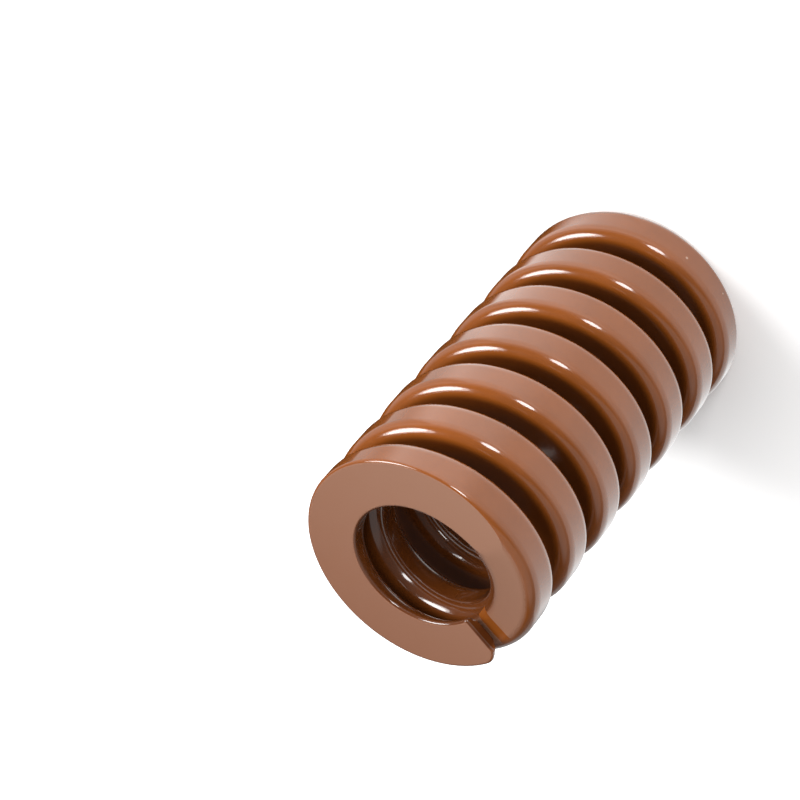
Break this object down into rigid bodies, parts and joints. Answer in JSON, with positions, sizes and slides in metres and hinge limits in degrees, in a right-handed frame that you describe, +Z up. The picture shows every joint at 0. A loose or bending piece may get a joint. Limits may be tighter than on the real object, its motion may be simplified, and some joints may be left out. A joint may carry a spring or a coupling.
{
  "type": "die spring",
  "caption": "Right-hand helical compression spring of rectangular wire, with closed and ground ends, brown enamelled, for a pocket and a guide rod.",
  "frame": {"origin": "centre of the lower ground face, on the coil's axis", "axes": "+Z up along the coil's axis, from the lower ground face to the upper one"},
  "size_m": [0.04, 0.04, 0.075],
  "materials": {
    "brown_enamel": "gloss brown enamel"
  },
  "bodies": {
    "root": {"spring_coil": "brown_enamel"}
  },
  "joints": []
}
